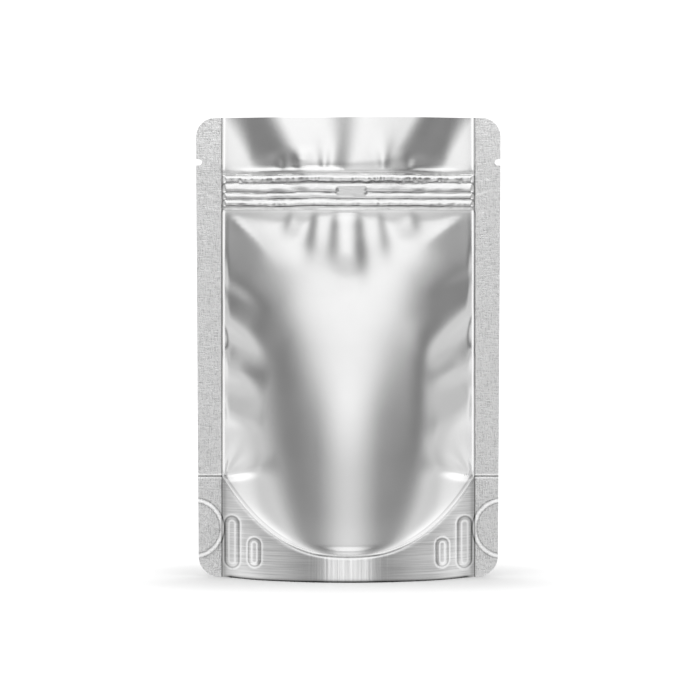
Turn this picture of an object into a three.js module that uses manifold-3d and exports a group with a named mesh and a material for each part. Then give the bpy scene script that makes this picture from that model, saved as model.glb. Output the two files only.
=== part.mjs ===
// A foil stand-up pouch with a press zip, shut and filled, standing on its folded base.
// Millimetres. X runs across the pouch, its front faces -Y, and +Z is up.
// The origin is on the surface that the pouch stands on, under its middle.
// It is one closed solid: two foil panels round what they hold, welded along both sides and
// along the curved seal at the foot, with the base fold pushed down between the two skirts.

import * as THREE from "three";
import { mergeVertices } from "three/addons/utils/BufferGeometryUtils.js";
import Module from "manifold-3d";

// Driving dimensions
const HEIGHT = 180;
const HALF_WIDTH = 59.8;
const SIDE_PULL = 1.2; // how much narrower each side is at the foot than at the top
const TOP_CORNER_RADIUS = 7.5;
const FOOT_CORNER_RADIUS = 8;
const SEAL_EDGE = 49.5; // inner edge of each side seal, from the middle
const SEAL_THICKNESS = 1;

const NOTCH_HEIGHT = 162.4; // tear notches in both edges
const NOTCH_WIDTH = 2.6;
const NOTCH_DEPTH = 2.2;

const ZIP_BOTTOM = 143.6;
const ZIP_TOP = 159.4;
const ZIP_TAPER = 3; // the zip is pinched flat over this length at each end
const ZIP_RIBS = [
  // height of its crest above the floor, its width above and below the crest, how far it stands out
  { crest: 145.8, above: 1.7, below: 0.9, out: 0.7 },
  { crest: 148.6, above: 1.8, below: 0.8, out: 0.7 },
  { crest: 151.1, above: 2.3, below: 0.7, out: 0.9 },
  { crest: 155.2, above: 2.3, below: 1.9, out: 1 },
];

const MOUTH_DEPTH = 1; // half depth at the zip and the mouth, beyond the seals
const BELLY_START = 6; // how softly each panel starts to come forward below the zip
const BELLY_SLOPE = 0.182; // how fast it then does
const BELLY_RUN = 120.2; // how far that goes on
const BELLY_ROUND = 3.5; // and how softly it ends
const SHOULDER_TURN = 0.52; // where the upper body turns down to the side seals, as a share
const SHOULDER_WIDTH = 0.11; // and how softly
const ROUND_BELOW = 58; // the body's section is a round arch below this height
const FLAT_ABOVE = 108; // and flat in the middle above this one

const BOW = 0.5; // the zip bows this far forward
const BOW_TOP = 3.4; // and the mouth this far
const BOW_RISE = [141, 163]; // it grows between these heights
const BOW_RUN = 24; // width of each shoulder of that bow
const BOW_START_ZIP = 37.7; // where the shoulder starts, from the middle, at the zip
const BOW_START_TOP = 49.3; // and at the top edge
const LEAN_BOTTOM = 30; // the body leans forward from here up to the zip
const TOP_LEAN = 0.12; // the top band leans back by this slope
const TOP_LEAN_RUN = 6;

const FOOT_SEAL_MIDDLE = 9.8; // height of the curved foot seal in the middle
const FOOT_SEAL_SIDE = 39; // and where it meets the side seals
const FOOT_SEAL_POWER = 2.5;
const LIP_SLOPE = 0.42; // how steeply the belly bulges over the foot seal
const LIP_RISE_MIDDLE = 2.6; // and how high that bulge is
const LIP_RISE_SIDE = 5.5;
const LIP_OUTWARD = [0.25, 0.8]; // it gets higher between these shares of the half width
const LIP_FADE = [40, 90]; // and dies out between these heights
const LIP_EDGE = 16; // and over this width beside the side seals
const SKIRT_FLARE = 0.12; // slope of the skirt towards the floor
const SKIRT_EDGE = 18;
const SKIRT_THICKNESS = 1.2;

const BASE_PATCH = 0.32; // share of the base's half depth that lies flat on the floor
const BASE_PATCH_END = 26; // where the base fold starts to rise, from the middle
const BASE_RISE_POWER = 2.6; // how late the base rises towards the skirts
const BASE_CLEARANCE = 0.4; // how far the flat patch goes past the floor in the cut
const BASE_FOLD_END = 44; // where the fold ends, from the middle
const BASE_FOLD_SHARE = 0.6; // height of the fold at its ends, against the foot seal there

const EMBOSS = 0.5; // how far the embossed marks stand out
const ARC_RADIUS = 11; // half rings that open to the outer edges
const ARC_CENTRE = { x: 60.5, z: 19 };
const ARC_BAND = 1.4;
const PILLS = [
  // embossed capsules on both ends of the skirt: place, width, lowest and highest point
  { x: 45.4, width: 6.2, bottom: 3.8, top: 24.2 },
  { x: 36.4, width: 5.2, bottom: 5, top: 16.2 },
];

// Creases of the foil. Each runs from one point to another, as x and z. Half is its half width
// at its start and its end.
const PLEATS = [
  // steps that run down from the zip and grow as they widen: slope is how steep they are, and
  // the foil is higher on the side that its sign tells
  { from: [-22.1, 144], to: [-26.5, 131], half: [1.6, 3.2], slope: 0.18 },
  { from: [-12.9, 144], to: [-16.8, 119], half: [2, 4.2], slope: 0.25 },
  { from: [-5, 144], to: [-7, 112], half: [2, 4.4], slope: 0.22 },
  { from: [3.8, 144], to: [5.6, 104], half: [2.4, 5.2], slope: -0.22 },
  { from: [12.2, 144], to: [16.6, 118], half: [2, 4.4], slope: -0.2 },
  { from: [25, 144], to: [28.5, 131], half: [1.8, 3.6], slope: -0.15 },
];
const SIDE_PLEATS = [
  // steps that run in from the side seals
  { from: [-49.5, 116], to: [-29, 103], half: [2.4, 2.6], slope: 0.2 },
  { from: [-49.5, 99.6], to: [-30, 84], half: [3, 3.2], slope: 0.32 },
  { from: [49.5, 120.5], to: [29, 110], half: [2.4, 2.6], slope: -0.14 },
  { from: [49.5, 104], to: [28, 83], half: [3, 3.4], slope: -0.32 },
];
const TOP_PLEATS = [
  { from: [-13.2, 159.5], to: [-12.8, 173], half: [0.8, 2.4], slope: -0.2 },
  { from: [-3, 158], to: [-0.8, 195], half: [2.2, 4.2], slope: -0.15 },
  { from: [13.6, 159.5], to: [14.8, 170], half: [0.8, 2.2], slope: 0.2 },
];
const CORNER_FOLDS = [
  // sharp ridges that run in from the corners of the zip, with the height of each
  { from: [-49.5, 144.5], to: [-25, 120], half: [2, 6], height: 0.9 },
  { from: [49.5, 144.5], to: [22, 124], half: [2, 6], height: 0.9 },
];
const FOOT_FOLDS = [
  // round ridges that run in from the ends of the foot seal
  { from: [-49.5, 39.2], to: [-26, 46], half: [1, 4.6], height: 1.7 },
  { from: [49.5, 39.2], to: [27, 46.5], half: [1, 4.6], height: 1.7 },
  { from: [-49.5, 39], to: [-40, 56], half: [0.7, 2.6], height: 0.8 },
  { from: [49.5, 39], to: [40, 55], half: [0.7, 2.6], height: 0.8 },
];
const SIDE_FOLDS = [
  // soft waves that run in from the side seals, and one that runs down the right flank
  { from: [-49.5, 84], to: [-31, 74.7], half: [5.6, 4.2], height: 1.5 },
  { from: [-49.5, 65.8], to: [-33, 58.3], half: [4.8, 4], height: 1.2 },
  { from: [49.5, 85.4], to: [30, 76], half: [4.6, 3.6], height: 1.2 },
  { from: [49.5, 70], to: [26, 50], half: [6, 5], height: 1.6 },
  { from: [29, 112], to: [29, 10], half: [7, 8], height: 0.4 },
];
const RIDGE_ROUND = 0.35; // how round the top of a corner fold is
const PLEAT_REACH = 4; // how far a pleat's step carries on to its sides, in half widths
// Shares of its length between which each fold rises to its full height
const CORNER_FOLD_START = [-0.1, 0.15];
const FOOT_FOLD_START = [-0.15, 0];
const SIDE_FOLD_START = [-0.15, 0.05];
// Shares of its length from which each fold dies out towards its end
const PLEAT_FADE = 0.35;
const FOOT_FOLD_FADE = 0.1;
const FOLD_FADE = 0.3;
// Distances below the zip over which folds grow out of it
const PLEAT_GROWTH = [-2, 5];
const CORNER_GROWTH = [0, 8];
const EDGE_GROWTH = [0, 3]; // and for the rest, also from the side seals

// How finely the panels are divided
const MARGIN = 1.2; // the panels are made this much too large, then cut to the outline
const COLUMN_STEP_MIDDLE = 2.5;
const COLUMN_STEP_SIDE = 3.3;
const MIDDLE_REACH = 20;
const SKIRT_ROWS = 3;
const BELLY_ROWS = 8;
const BELLY_TOP = 70;
const BODY_ROWS = 18;
const TOP_ROWS = 5;
const ZIP_ROW_HEIGHTS = [
  // on the crests and in the grooves of the zip's ribs
  144.9, 145.8, 146.7, 147.7, 148.6, 149.5, 150.4, 151.1, 152.3, 153.3, 155.2, 156.5, 157.5,
];
const ARC_SEGMENTS = 8;
const BASE_SECTIONS = 26;
const BASE_POINTS = 12;
const SKIRT_INNER_ROWS = 3;
const THROUGH_DEPTH = 120; // depth of the bodies that cut or mark the pouch right through

const { clamp, lerp, smoothstep } = THREE.MathUtils;

// The curved seal that closes the foot, as a height over the floor
function footSeal(x) {
  const share = Math.min(Math.abs(x) / SEAL_EDGE, 1);
  return lerp(FOOT_SEAL_MIDDLE, FOOT_SEAL_SIDE, share ** FOOT_SEAL_POWER);
}

// A step from 0 to a slope of 1, softened
function softRamp(value) {
  return Math.log1p(Math.exp(value));
}

// A bump of height 1 and half width 1
function bell(value) {
  return Math.exp(-(value ** 2));
}

// How far the body's middle leans forward
function lean(z) {
  return BOW * smoothstep(z, LEAN_BOTTOM, ZIP_BOTTOM);
}

// Half the depth of the filled pouch on its middle line: a wedge that rounds off low down
function middleDepth(z) {
  const below = Math.hypot(Math.max(ZIP_BOTTOM - z, 0), BELLY_START) - BELLY_START;
  const over = BELLY_ROUND * softRamp((below - BELLY_RUN) / BELLY_ROUND);
  return MOUTH_DEPTH + BELLY_SLOPE * (below - over) - lean(z);
}

// How full the pouch is across its width: 1 in the middle and 0 at both seals
function section(x, z) {
  const share = Math.min(Math.abs(x) / SEAL_EDGE, 1);
  const turned = softRamp((share - SHOULDER_TURN) / SHOULDER_WIDTH);
  const flat = 1 - turned / softRamp((1 - SHOULDER_TURN) / SHOULDER_WIDTH);
  return lerp(1 - share ** 2, flat, smoothstep(z, ROUND_BELOW, FLAT_ABOVE));
}

// The belly's bulge over the foot seal
function lip(x, z) {
  const wide = Math.abs(x);
  const outward = smoothstep(Math.min(wide / SEAL_EDGE, 1), ...LIP_OUTWARD);
  const rise = lerp(LIP_RISE_MIDDLE, LIP_RISE_SIDE, outward);
  const above = Math.max(z - footSeal(x), 0);
  const fade = smoothstep(SEAL_EDGE - wide, 0, LIP_EDGE) * (1 - smoothstep(z, ...LIP_FADE));
  return LIP_SLOPE * rise * (1 - Math.exp(-above / rise)) * fade;
}

// The skirt's kick towards its lower edge
function flare(x, z) {
  const edge = smoothstep(SEAL_EDGE - Math.abs(x), 0, SKIRT_EDGE);
  return SKIRT_FLARE * Math.max(footSeal(x) - z, 0) * edge;
}

// The forward bow of the body, the zip and the mouth
function bow(x, z) {
  const up = clamp((z - ZIP_TOP) / (HEIGHT - ZIP_TOP), 0, 1);
  const start = lerp(BOW_START_ZIP, BOW_START_TOP, up);
  const mix = smoothstep(z, ...BOW_RISE);
  const across = lerp(section(x, z), smoothstep(start - Math.abs(x), 0, BOW_RUN), mix);
  return (lean(z) + (BOW_TOP - BOW) * mix) * across;
}

// How far the top band leans back
function topLean(z) {
  const above = Math.max(z - ZIP_TOP, 0);
  return (TOP_LEAN * above ** 2) / (above + TOP_LEAN_RUN);
}

// The ribs of the zip
function zipRelief(x, z) {
  const ends = smoothstep(SEAL_EDGE - Math.abs(x), 0, ZIP_TAPER);
  const ribs = ZIP_RIBS.map(({ crest, above, below, out }) => {
    const across = Math.max((z - crest) / above, (crest - z) / below);
    return across < 1 ? out * Math.cos((across * Math.PI) / 2) : 0;
  });
  return Math.max(...ribs) * ends;
}

// Where a point lies along a fold, the fold's half width there, and how many of those the
// point is to the fold's right
function placeOn({ from, to, half }, x, z) {
  const [dx, dz] = [to[0] - from[0], to[1] - from[1]];
  const length = Math.hypot(dx, dz);
  const along = ((x - from[0]) * dx + (z - from[1]) * dz) / length ** 2;
  const width = lerp(half[0], half[1], clamp(along, 0, 1));
  const away = ((x - from[0]) * dz - (z - from[1]) * dx) / (length * width);
  return { along, width, away };
}

// How much of a fold there is at a place along it
function lasting(along, fade, start) {
  return (1 - smoothstep(along, fade, 1)) * smoothstep(along, ...start);
}

function pleat(fold, x, z) {
  const { along, width, away } = placeOn(fold, x, z);
  const step = Math.tanh(away) * bell(away / PLEAT_REACH);
  return -fold.slope * width * step * (1 - smoothstep(along, PLEAT_FADE, 1));
}

function cornerFold(fold, x, z) {
  const { along, away } = placeOn(fold, x, z);
  const ridge = Math.exp(RIDGE_ROUND - Math.hypot(RIDGE_ROUND, away));
  return fold.height * ridge * lasting(along, FOLD_FADE, CORNER_FOLD_START);
}

function footFold(fold, x, z) {
  const { along, away } = placeOn(fold, x, z);
  return fold.height * bell(away) * lasting(along, FOOT_FOLD_FADE, FOOT_FOLD_START);
}

function sideFold(fold, x, z) {
  const { along, away } = placeOn(fold, x, z);
  return fold.height * bell(away) * lasting(along, FOLD_FADE, SIDE_FOLD_START);
}

// All creases of one panel. They die out at the seals and at the zip.
function creases(x, z) {
  const joined = (folds, shape) => folds.reduce((sum, fold) => sum + shape(fold, x, z), 0);
  const below = ZIP_BOTTOM - z;
  const hanging = joined(PLEATS, pleat) * smoothstep(below, ...PLEAT_GROWTH);
  const sides = joined(SIDE_PLEATS, pleat) + joined(SIDE_FOLDS, sideFold);
  const corners = joined(CORNER_FOLDS, cornerFold) + joined(FOOT_FOLDS, footFold);
  const standing = joined(TOP_PLEATS, pleat) * smoothstep(z - ZIP_TOP, ...EDGE_GROWTH);
  const waves = sides * smoothstep(below, ...EDGE_GROWTH);
  const all = hanging + waves + corners * smoothstep(below, ...CORNER_GROWTH) + standing;
  return all * smoothstep(SEAL_EDGE - Math.abs(x), ...EDGE_GROWTH);
}

// How far a panel stands out from the middle plane. Side is -1 for the front and 1 for the
// back, where the bow goes inwards and the creases are the other way round.
function panelDepth(x, z, side) {
  const body = SEAL_THICKNESS / 2 + middleDepth(z) * section(x, z) + lip(x, z) + flare(x, z);
  const relief = zipRelief(x, z) + creases(-side * x, z);
  return body + relief - side * (bow(x, z) - topLean(z));
}

// Places of the grid's columns across the pouch, with one on each seal's inner edge
function columns() {
  const right = [];
  for (let x = COLUMN_STEP_MIDDLE / 2; x < MIDDLE_REACH; x += COLUMN_STEP_MIDDLE) {
    right.push(x);
  }
  const rest = SEAL_EDGE - right.at(-1);
  const steps = Math.round(rest / COLUMN_STEP_SIDE);
  for (let i = 1; i <= steps; i += 1) {
    right.push(SEAL_EDGE - rest * (1 - i / steps));
  }
  right.push(HALF_WIDTH + MARGIN);
  return [...right.map((x) => -x).reverse(), ...right];
}

// Heights of the grid's rows at one column. The lowest rows follow the curved foot seal.
function rowHeights(x) {
  const seal = footSeal(x);
  const rows = [-MARGIN, 0];
  for (let i = 1; i <= SKIRT_ROWS; i += 1) {
    rows.push((seal * i) / SKIRT_ROWS);
  }
  for (let i = 1; i <= BELLY_ROWS; i += 1) {
    rows.push(lerp(seal, BELLY_TOP, (i / BELLY_ROWS) ** 1.5));
  }
  for (let i = 1; i <= BODY_ROWS; i += 1) {
    rows.push(lerp(BELLY_TOP, ZIP_BOTTOM, (i / BODY_ROWS) ** 0.85));
  }
  rows.push(...ZIP_ROW_HEIGHTS, ZIP_TOP);
  for (let i = 1; i <= TOP_ROWS; i += 1) {
    rows.push(lerp(ZIP_TOP, HEIGHT + MARGIN, i / TOP_ROWS));
  }
  return rows;
}

// A closed surface from points and triangles
function closedGeometry(points, triangles) {
  const geometry = new THREE.BufferGeometry();
  geometry.setAttribute("position", new THREE.Float32BufferAttribute(points.flat(), 3));
  geometry.setIndex(triangles.flat());
  return geometry;
}

// Two triangles for the cell a, b, c, d, which runs anticlockwise seen from outside
function cell(a, b, c, d) {
  return [
    [a, b, c],
    [a, c, d],
  ];
}

// Both panels as one closed body, larger than the outline, pushed out by offset
function panelsGeometry(offset) {
  const xs = columns();
  const rows = xs.map(rowHeights);
  const wide = xs.length;
  const high = rows[0].length;
  const points = [];
  for (const side of [-1, 1]) {
    xs.forEach((x, i) => {
      rows[i].forEach((z) => points.push([x, side * (panelDepth(x, z, side) + offset), z]));
    });
  }
  const front = (i, j) => i * high + j;
  const back = (i, j) => wide * high + i * high + j;
  const triangles = [];
  for (let i = 0; i + 1 < wide; i += 1) {
    for (let j = 0; j + 1 < high; j += 1) {
      triangles.push(...cell(front(i, j), front(i + 1, j), front(i + 1, j + 1), front(i, j + 1)));
      triangles.push(...cell(back(i, j), back(i, j + 1), back(i + 1, j + 1), back(i + 1, j)));
    }
    triangles.push(...cell(back(i, 0), back(i + 1, 0), front(i + 1, 0), front(i, 0)));
    const top = high - 1;
    triangles.push(...cell(front(i, top), front(i + 1, top), back(i + 1, top), back(i, top)));
  }
  for (let j = 0; j + 1 < high; j += 1) {
    const end = wide - 1;
    triangles.push(...cell(back(0, j), front(0, j), front(0, j + 1), back(0, j + 1)));
    triangles.push(...cell(front(end, j), back(end, j), back(end, j + 1), front(end, j + 1)));
  }
  return closedGeometry(points, triangles);
}

// An upright shape, drawn in x and z, made solid right through the pouch from front to back
function throughGeometry(shape) {
  const geometry = new THREE.ExtrudeGeometry(shape, {
    depth: THROUGH_DEPTH,
    bevelEnabled: false,
    curveSegments: ARC_SEGMENTS,
  });
  geometry.rotateX(Math.PI / 2);
  geometry.translate(0, THROUGH_DEPTH / 2, 0);
  return geometry;
}

// The pouch's outline: straight sides, round corners and a tear notch in each side
function outlineShape() {
  const foot = HALF_WIDTH - SIDE_PULL;
  const sideAt = (z) => lerp(foot, HALF_WIDTH, z / HEIGHT);
  const notchEdge = sideAt(NOTCH_HEIGHT);
  const notchRadius = NOTCH_WIDTH / 2;
  const notchEnd = notchEdge - NOTCH_DEPTH + notchRadius;
  const shape = new THREE.Shape();
  shape.moveTo(FOOT_CORNER_RADIUS - foot, 0);
  shape.lineTo(foot - FOOT_CORNER_RADIUS, 0);
  shape.absarc(foot - FOOT_CORNER_RADIUS, FOOT_CORNER_RADIUS, FOOT_CORNER_RADIUS, -Math.PI / 2, 0);
  shape.lineTo(notchEdge, NOTCH_HEIGHT - notchRadius);
  shape.absarc(notchEnd, NOTCH_HEIGHT, notchRadius, -Math.PI / 2, Math.PI / 2, true);
  shape.lineTo(notchEdge, NOTCH_HEIGHT + notchRadius);
  const corner = HALF_WIDTH - TOP_CORNER_RADIUS;
  shape.absarc(corner, HEIGHT - TOP_CORNER_RADIUS, TOP_CORNER_RADIUS, 0, Math.PI / 2);
  shape.absarc(-corner, HEIGHT - TOP_CORNER_RADIUS, TOP_CORNER_RADIUS, Math.PI / 2, Math.PI);
  shape.lineTo(-notchEdge, NOTCH_HEIGHT + notchRadius);
  shape.absarc(-notchEnd, NOTCH_HEIGHT, notchRadius, Math.PI / 2, -Math.PI / 2, true);
  shape.lineTo(-notchEdge, NOTCH_HEIGHT - notchRadius);
  const left = FOOT_CORNER_RADIUS - foot;
  shape.absarc(left, FOOT_CORNER_RADIUS, FOOT_CORNER_RADIUS, Math.PI, (3 * Math.PI) / 2);
  return shape;
}

// One embossed capsule on the skirt
function pillShape(x, { width, bottom, top }) {
  const radius = width / 2;
  const shape = new THREE.Shape();
  shape.absarc(x, bottom + radius, radius, -Math.PI, 0);
  shape.absarc(x, top - radius, radius, 0, Math.PI);
  return shape;
}

// One embossed half ring, open to the outer edge on the side named by sign
function arcShape(sign) {
  const shape = new THREE.Shape();
  const from = sign > 0 ? Math.PI / 2 : -Math.PI / 2;
  const outer = ARC_RADIUS + ARC_BAND / 2;
  const inner = ARC_RADIUS - ARC_BAND / 2;
  const centre = sign * ARC_CENTRE.x;
  shape.absarc(centre, ARC_CENTRE.z, outer, from, from + Math.PI);
  shape.absarc(centre, ARC_CENTRE.z, inner, from + Math.PI, from, true);
  return shape;
}

// One section, at x, of the space under the base: up inside the front skirt, over the base
// fold and down inside the back skirt
function baseSection(x) {
  const seal = footSeal(x);
  const inside = (z, side) => side * (panelDepth(x, z, side) - SKIRT_THICKNESS);
  const rise = smoothstep(Math.abs(x), BASE_PATCH_END, BASE_FOLD_END) ** 2;
  const fold = BASE_FOLD_SHARE * footSeal(BASE_FOLD_END) * rise;
  const top = Math.max(lerp(seal, fold, rise), fold);
  const front = [];
  const back = [];
  for (let i = 0; i <= SKIRT_INNER_ROWS; i += 1) {
    const z = lerp(-MARGIN, top, i / SKIRT_INNER_ROWS);
    front.push([x, inside(z, -1), z]);
    back.unshift([x, inside(z, 1), z]);
  }
  const over = [];
  for (let i = 1; i < BASE_POINTS; i += 1) {
    const across = (2 * i) / BASE_POINTS - 1;
    const out = clamp((Math.abs(across) - BASE_PATCH) / (1 - BASE_PATCH), 0, 1);
    const z = lerp(fold - BASE_CLEARANCE, top, out ** BASE_RISE_POWER);
    over.push([x, lerp(front.at(-1)[1], back[0][1], i / BASE_POINTS), z]);
  }
  return [...front, ...over, ...back];
}

// The space under the base, as a closed body from one end of the fold to the other
function baseSpaceGeometry() {
  const sections = [];
  for (let i = 0; i <= BASE_SECTIONS; i += 1) {
    sections.push(baseSection(lerp(-BASE_FOLD_END, BASE_FOLD_END, i / BASE_SECTIONS)));
  }
  const count = sections[0].length;
  const triangles = [];
  for (let i = 0; i + 1 < sections.length; i += 1) {
    for (let j = 0; j < count; j += 1) {
      const next = (j + 1) % count;
      const [a, b] = [i * count + j, i * count + next];
      triangles.push(...cell(a, a + count, b + count, b));
    }
  }
  const last = (sections.length - 1) * count;
  for (let j = 1; j + 1 < count; j += 1) {
    triangles.push([0, j, j + 1], [last, last + j + 1, last + j]);
  }
  return closedGeometry(sections.flat(), triangles);
}

const wasm = await Module();
wasm.setup();

// A closed geometry as a solid that can be joined and cut
function solidOf(geometry) {
  const bare = geometry.clone();
  bare.deleteAttribute("normal");
  bare.deleteAttribute("uv");
  const merged = mergeVertices(bare);
  const vertProperties = new Float32Array(merged.attributes.position.array);
  const triVerts = new Uint32Array(merged.index.array);
  return new wasm.Manifold(new wasm.Mesh({ numProp: 3, vertProperties, triVerts }));
}

// A solid as a geometry with flat faces
function geometryOf(solid) {
  const mesh = solid.getMesh();
  const geometry = new THREE.BufferGeometry();
  geometry.setAttribute("position", new THREE.BufferAttribute(mesh.vertProperties, 3));
  geometry.setIndex(new THREE.BufferAttribute(mesh.triVerts, 1));
  geometry.computeVertexNormals();
  return geometry;
}

// All embossed marks, standing out from both panels
function embossedSolid() {
  const shapes = [];
  for (const sign of [-1, 1]) {
    shapes.push(arcShape(sign));
    PILLS.forEach((pill) => shapes.push(pillShape(sign * pill.x, pill)));
  }
  const through = shapes.map((shape) => solidOf(throughGeometry(shape)));
  const marks = through.reduce((joined, mark) => joined.add(mark));
  return solidOf(panelsGeometry(EMBOSS)).intersect(marks);
}

function pouchGeometry() {
  const outline = solidOf(throughGeometry(outlineShape()));
  const panels = solidOf(panelsGeometry(0)).add(embossedSolid());
  return geometryOf(panels.intersect(outline).subtract(solidOf(baseSpaceGeometry())));
}

const foil = new THREE.MeshStandardMaterial({ color: 0xd9d9d9, roughness: 0.3, metalness: 1 });
const pouch = new THREE.Mesh(pouchGeometry(), foil);
pouch.name = "pouch";

const part = new THREE.Group();
part.add(pouch);

export default part;
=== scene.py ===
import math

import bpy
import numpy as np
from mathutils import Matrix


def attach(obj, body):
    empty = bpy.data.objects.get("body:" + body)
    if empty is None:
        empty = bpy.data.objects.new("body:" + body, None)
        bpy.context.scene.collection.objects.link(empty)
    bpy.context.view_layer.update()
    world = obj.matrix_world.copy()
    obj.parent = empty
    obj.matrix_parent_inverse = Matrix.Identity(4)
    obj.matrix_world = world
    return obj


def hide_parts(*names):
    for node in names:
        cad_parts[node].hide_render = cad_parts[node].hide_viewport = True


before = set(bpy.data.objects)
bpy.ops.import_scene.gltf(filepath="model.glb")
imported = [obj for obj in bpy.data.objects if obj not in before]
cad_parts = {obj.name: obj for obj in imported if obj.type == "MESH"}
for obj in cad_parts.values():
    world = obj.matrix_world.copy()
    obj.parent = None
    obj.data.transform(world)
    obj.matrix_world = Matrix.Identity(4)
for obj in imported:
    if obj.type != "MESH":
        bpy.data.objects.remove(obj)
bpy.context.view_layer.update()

# A foil stand-up pouch with a press zip, shut and filled, on a pale studio floor.
# The pouch is worked out in millimetres and handed over in metres. X runs across it, its
# front faces -Y, +Z is up, and the origin is on the floor under its middle.

MM = 0.001

# ---------------------------------------------------------------- the form of the pouch
# A pair (from, to) is the stretch over which a form comes up or dies out.

HEIGHT = 180.0
HALF_WIDTH = 59.8
SIDE_PULL = 1.2  # how far the filled foot pulls each side edge in
TOP_CORNER_RADIUS = 7.5
FOOT_CORNER_RADIUS = 8.0
SEAL_EDGE = 49.5  # inner edge of the side seals, from the middle
SEAL_THICKNESS = 0.7
FILM = 0.35
NOTCH_HEIGHT = 162.4
NOTCH_HALF = 1.2
NOTCH_DEPTH = 2.3

ZIP_BOTTOM = 143.6
ZIP_TOP = 159.4
ZIP_TAPER = 1.6
# crest, width above and below it, how far it stands out
ZIP_RIBS = [
    (145.8, 1.7, 0.9, 0.7),
    (148.6, 1.8, 0.8, 0.7),
    (151.1, 2.8, 0.7, 0.9),
    (155.8, 1.7, 1.8, 1.0),
]
RIB_DRIFT = (0.22, 9.0, 2)  # amount, run and seed of the noise
RIB_SHIVER = (0.14, 3.3, 6)
RIB_SWELL = (0.22, 5.0, 4)
CRINKLES = (0.26, 1.1, 2.2, 3)  # amount, run across, run up and seed of the noise
CRINKLED_ROWS = [(155.8, 1.5, 1.0), (146.4, 1.2, 0.7)]  # height, half width, share
CRINKLED_PATCHES = (1.0, 6.0, 9)
CRINKLED_LEAST = 0.3
PAD = (1.2, 5.6, 151.2, 2.0)  # middle, half width, height, half height
PAD_OUT = 0.55
PAD_EDGE = (0.4, 0.3)
ZIP_GROOVE = (0.5, 157.7, 0.45)  # depth, height, half width
ZIP_GROOVE_DRIFT = (0.3, 6.0, 12)
ZIP_STEP = 0.45  # how far the film over the zip steps in
ZIP_STEP_UP = (158.4, 160.8)
ZIP_STEP_TAPER = 12.0

MOUTH_DEPTH = 1.0
BELLY_SLOPE = 0.182
BELLY_RUN = 120.2
BELLY_ROUND = 3.5
BELLY_START = 6.0
ROUND_TO_FLAT = (58.0, 108.0)
SHOULDER = (0.51, 0.11)  # where the flat middle turns down and how widely, as shares

BOW = 0.5
BOW_TOP = 3.4
BOW_RISE = (141.0, 163.0)
BOW_RUN = 24.0
BOW_START_ZIP = 37.7
BOW_START_TOP = 49.3
LEAN_BOTTOM = 30.0
TOP_LEAN = 0.12
TOP_LEAN_START = 6.0

FOOT_SEAL_MIDDLE = 9.8
FOOT_SEAL_SIDE = 39.0
FOOT_SEAL_POWER = 2.5
LIP_SLOPE = 0.42
LIP_RISE_MIDDLE = 2.6
LIP_RISE_SIDE = 5.5
LIP_RISE_SHARES = (0.25, 0.8)
LIP_FADE = (40.0, 90.0)
LIP_EDGE = 16.0
SKIRT_FLARE = (0.12, 18.0)  # slope, run beside the seals
EDGE_CURL = (0.8, 1.0, 6.0)  # depth, height, run beside the seals

BEAD_HEIGHT = 0.2
BEAD_HALF = 0.6
BEAD_CORNER = 1.6
FOOT_BEAD = (0.4, 0.5)  # height, half width
FOOT_CREST = (1.25, 1.5, 1.9)  # height, place above the foot seal, half width
FOOT_CREST_RISE = (-0.4, 0.6)
FOOT_CREST_END = (21.0, 17.0)  # half length, taper
ARC_RADIUS = 11.0
ARC_CENTRE = (60.5, 19.0)
ARC_BEAD = (0.3, 0.6)
STEP_BEAD = (0.2, 0.4)
PILLS = [(45.4, 3.1, 3.8, 24.2), (36.4, 2.6, 5.0, 16.2)]  # place, radius, bottom, top
PILL_HEIGHT = 0.85
PILL_ROUND = 0.9
PILL_GROOVE = (0.2, 0.3, 0.45)  # depth, place outside the pill, half width
RIB_LINE = (0.12, 40.8, 0.6, 8.0, 20.0)  # height, place, half width, bottom, top
CRUSHED_UP = (140.0, 165.0)
CRUSHED_TAPER = 4.0
CRUSHED_FINE = (0.12, 2.0, 0.8, 5)
CRUSHED_COARSE = (0.1, 3.1, 2.6, 8)

BASE_END = 44.0
BASE_END_TAPER = 2.0
BASE_FOLD_SHARE = 0.55
BASE_PATCH = 0.32
BASE_PATCH_END = 26.0
BASE_RISE_POWER = 2.6
BASE_CLEARANCE = 0.3
BASE_STEPS = 15
SKIRT_STEPS = (0, 0.15, 0.3, 0.45, 0.6, 0.8, 1)
SKIRT_LEAST = 0.05  # the least distance between a skirt's inner side and the middle
MOUTH_GROOVE = (1.4, 5.0)  # depth, taper
LIP_SHARE = 0.4

# Creases: from, to, half width at both ends, height, kind
PLEATS = [
    ((-22.1, 144), (-26.5, 131), (1.6, 3.2), 0.18, "pleat"),
    ((-12.9, 144), (-16.8, 119), (2.0, 4.2), 0.25, "pleat"),
    ((-5.0, 144), (-7.0, 117), (2.0, 4.4), 0.22, "pleat"),
    ((3.8, 144), (6.2, 108), (2.4, 4.8), -0.22, "pleat"),
    ((12.2, 144), (16.6, 118), (2.0, 4.4), -0.2, "pleat"),
    ((25.0, 144), (28.5, 131), (1.8, 3.6), -0.15, "pleat"),
]
TOP_PLEATS = [
    ((-26.0, 159), (-27.0, 167), (1.2, 2.4), -0.16, "pleat"),
    ((-20.0, 159), (-21.5, 169), (1.2, 2.6), -0.2, "pleat"),
    ((-3.2, 158), (1.5, 215), (4.2, 10.0), -0.19, "pleat"),
    ((-9.4, 159), (-9.0, 180), (1.4, 5.5), 0.45, "ridge"),
    ((13.6, 159), (14.4, 180), (1.4, 5.5), 0.4, "ridge"),
    ((24.0, 159), (25.5, 167), (1.2, 2.4), 0.16, "pleat"),
]
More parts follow.
